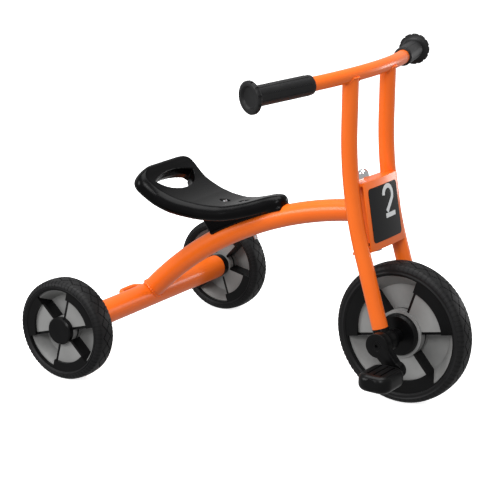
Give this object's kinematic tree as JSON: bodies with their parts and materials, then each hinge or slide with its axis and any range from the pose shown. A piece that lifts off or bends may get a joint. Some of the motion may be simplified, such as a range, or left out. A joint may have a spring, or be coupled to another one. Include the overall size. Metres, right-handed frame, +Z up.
{
  "type": "children's tricycle",
  "caption": "Children's pedal tricycle with a bent tube frame, saddle with a hand hole, direct-drive front wheel and a handlebar with a number plate",
  "frame": {"origin": "on the floor, midway between the front tyre's foremost point and the rear tyres' rearmost point, on the centre plane", "axes": "+X forward in the direction of travel, +Y to the rider's left, +Z up"},
  "size_m": [0.682, 0.5034, 0.5292],
  "materials": {
    "orange_paint": "gloss powder coat",
    "black_plastic": "satin, lightly grained",
    "grip_rubber": "soft matte",
    "tyre_rubber": "matte, patterned tread",
    "grey_plastic": "satin",
    "steel": "zinc plated",
    "brass_insert": "machined",
    "chrome_nut": "polished",
    "label_film": "gloss film"
  },
  "bodies": {
    "frame": {"main_tube": "orange_paint", "rear_axle_tube": "orange_paint", "head_tube": "orange_paint", "tow_loop": "orange_paint", "rear_axle": "steel", "axle_bushes": "black_plastic", "axle_nuts": "steel", "head_bush_upper": "black_plastic", "head_bush_lower": "black_plastic", "seat": "black_plastic", "seat_screws": "steel", "seat_inserts": "brass_insert"},
    "fork": {"fork_leg_right": "orange_paint", "fork_leg_left": "orange_paint", "handlebar": "orange_paint", "steering_plate_upper": "orange_paint", "steering_plate_lower": "orange_paint", "number_plate": "orange_paint", "number_label": "label_film", "steering_bolt": "steel", "steering_nut": "chrome_nut", "grip_right": "grip_rubber", "grip_left": "grip_rubber", "housing_right": "black_plastic", "housing_left": "black_plastic", "bearing_right": "black_plastic", "bearing_left": "black_plastic"},
    "front_wheel": {"front_tyre": "tyre_rubber", "front_rim": "black_plastic", "front_panels_right": "grey_plastic", "front_panels_left": "grey_plastic", "front_cover_right": "black_plastic", "front_cover_left": "black_plastic", "crank_axle": "steel", "crank_right": "black_plastic", "crank_left": "black_plastic", "crank_screws": "steel", "spindle_right": "steel", "spindle_left": "steel"},
    "pedal_right": {"pedal_right": "black_plastic", "pedal_cap_right": "black_plastic"},
    "pedal_left": {"pedal_left": "black_plastic", "pedal_cap_left": "black_plastic"},
    "rear_wheel_right": {"rear_tyre_right": "tyre_rubber", "rear_rim_right": "black_plastic", "rear_panels_out_right": "grey_plastic", "rear_panels_in_right": "grey_plastic", "rear_sleeve_right": "black_plastic", "hub_cap_right": "black_plastic"},
    "rear_wheel_left": {"rear_tyre_left": "tyre_rubber", "rear_rim_left": "black_plastic", "rear_panels_out_left": "grey_plastic", "rear_panels_in_left": "grey_plastic", "rear_sleeve_left": "black_plastic", "hub_cap_left": "black_plastic"}
  },
  "joints": [
    {"name": "steering", "type": "hinge", "parent": "frame", "child": "fork", "pos_m": [0.162, 0, 0.292], "axis": [-0.23, 0, 0.9732], "range_deg": [-42, 42]},
    {"name": "front_wheel_spin", "type": "hinge", "parent": "fork", "child": "front_wheel", "pos_m": [0.229, 0, 0.112], "axis": [0, 1, 0], "continuous": true},
    {"name": "pedal_right_spin", "type": "hinge", "parent": "front_wheel", "child": "pedal_right", "pos_m": [0.26071, -0.125, 0.07799], "axis": [0, 1, 0], "continuous": true},
    {"name": "pedal_left_spin", "type": "hinge", "parent": "front_wheel", "child": "pedal_left", "pos_m": [0.19729, 0.125, 0.14601], "axis": [0, 1, 0], "continuous": true},
    {"name": "rear_wheel_right_spin", "type": "hinge", "parent": "frame", "child": "rear_wheel_right", "pos_m": [-0.259, -0.221, 0.082], "axis": [0, 1, 0], "continuous": true},
    {"name": "rear_wheel_left_spin", "type": "hinge", "parent": "frame", "child": "rear_wheel_left", "pos_m": [-0.259, 0.221, 0.082], "axis": [0, 1, 0], "continuous": true}
  ]
}
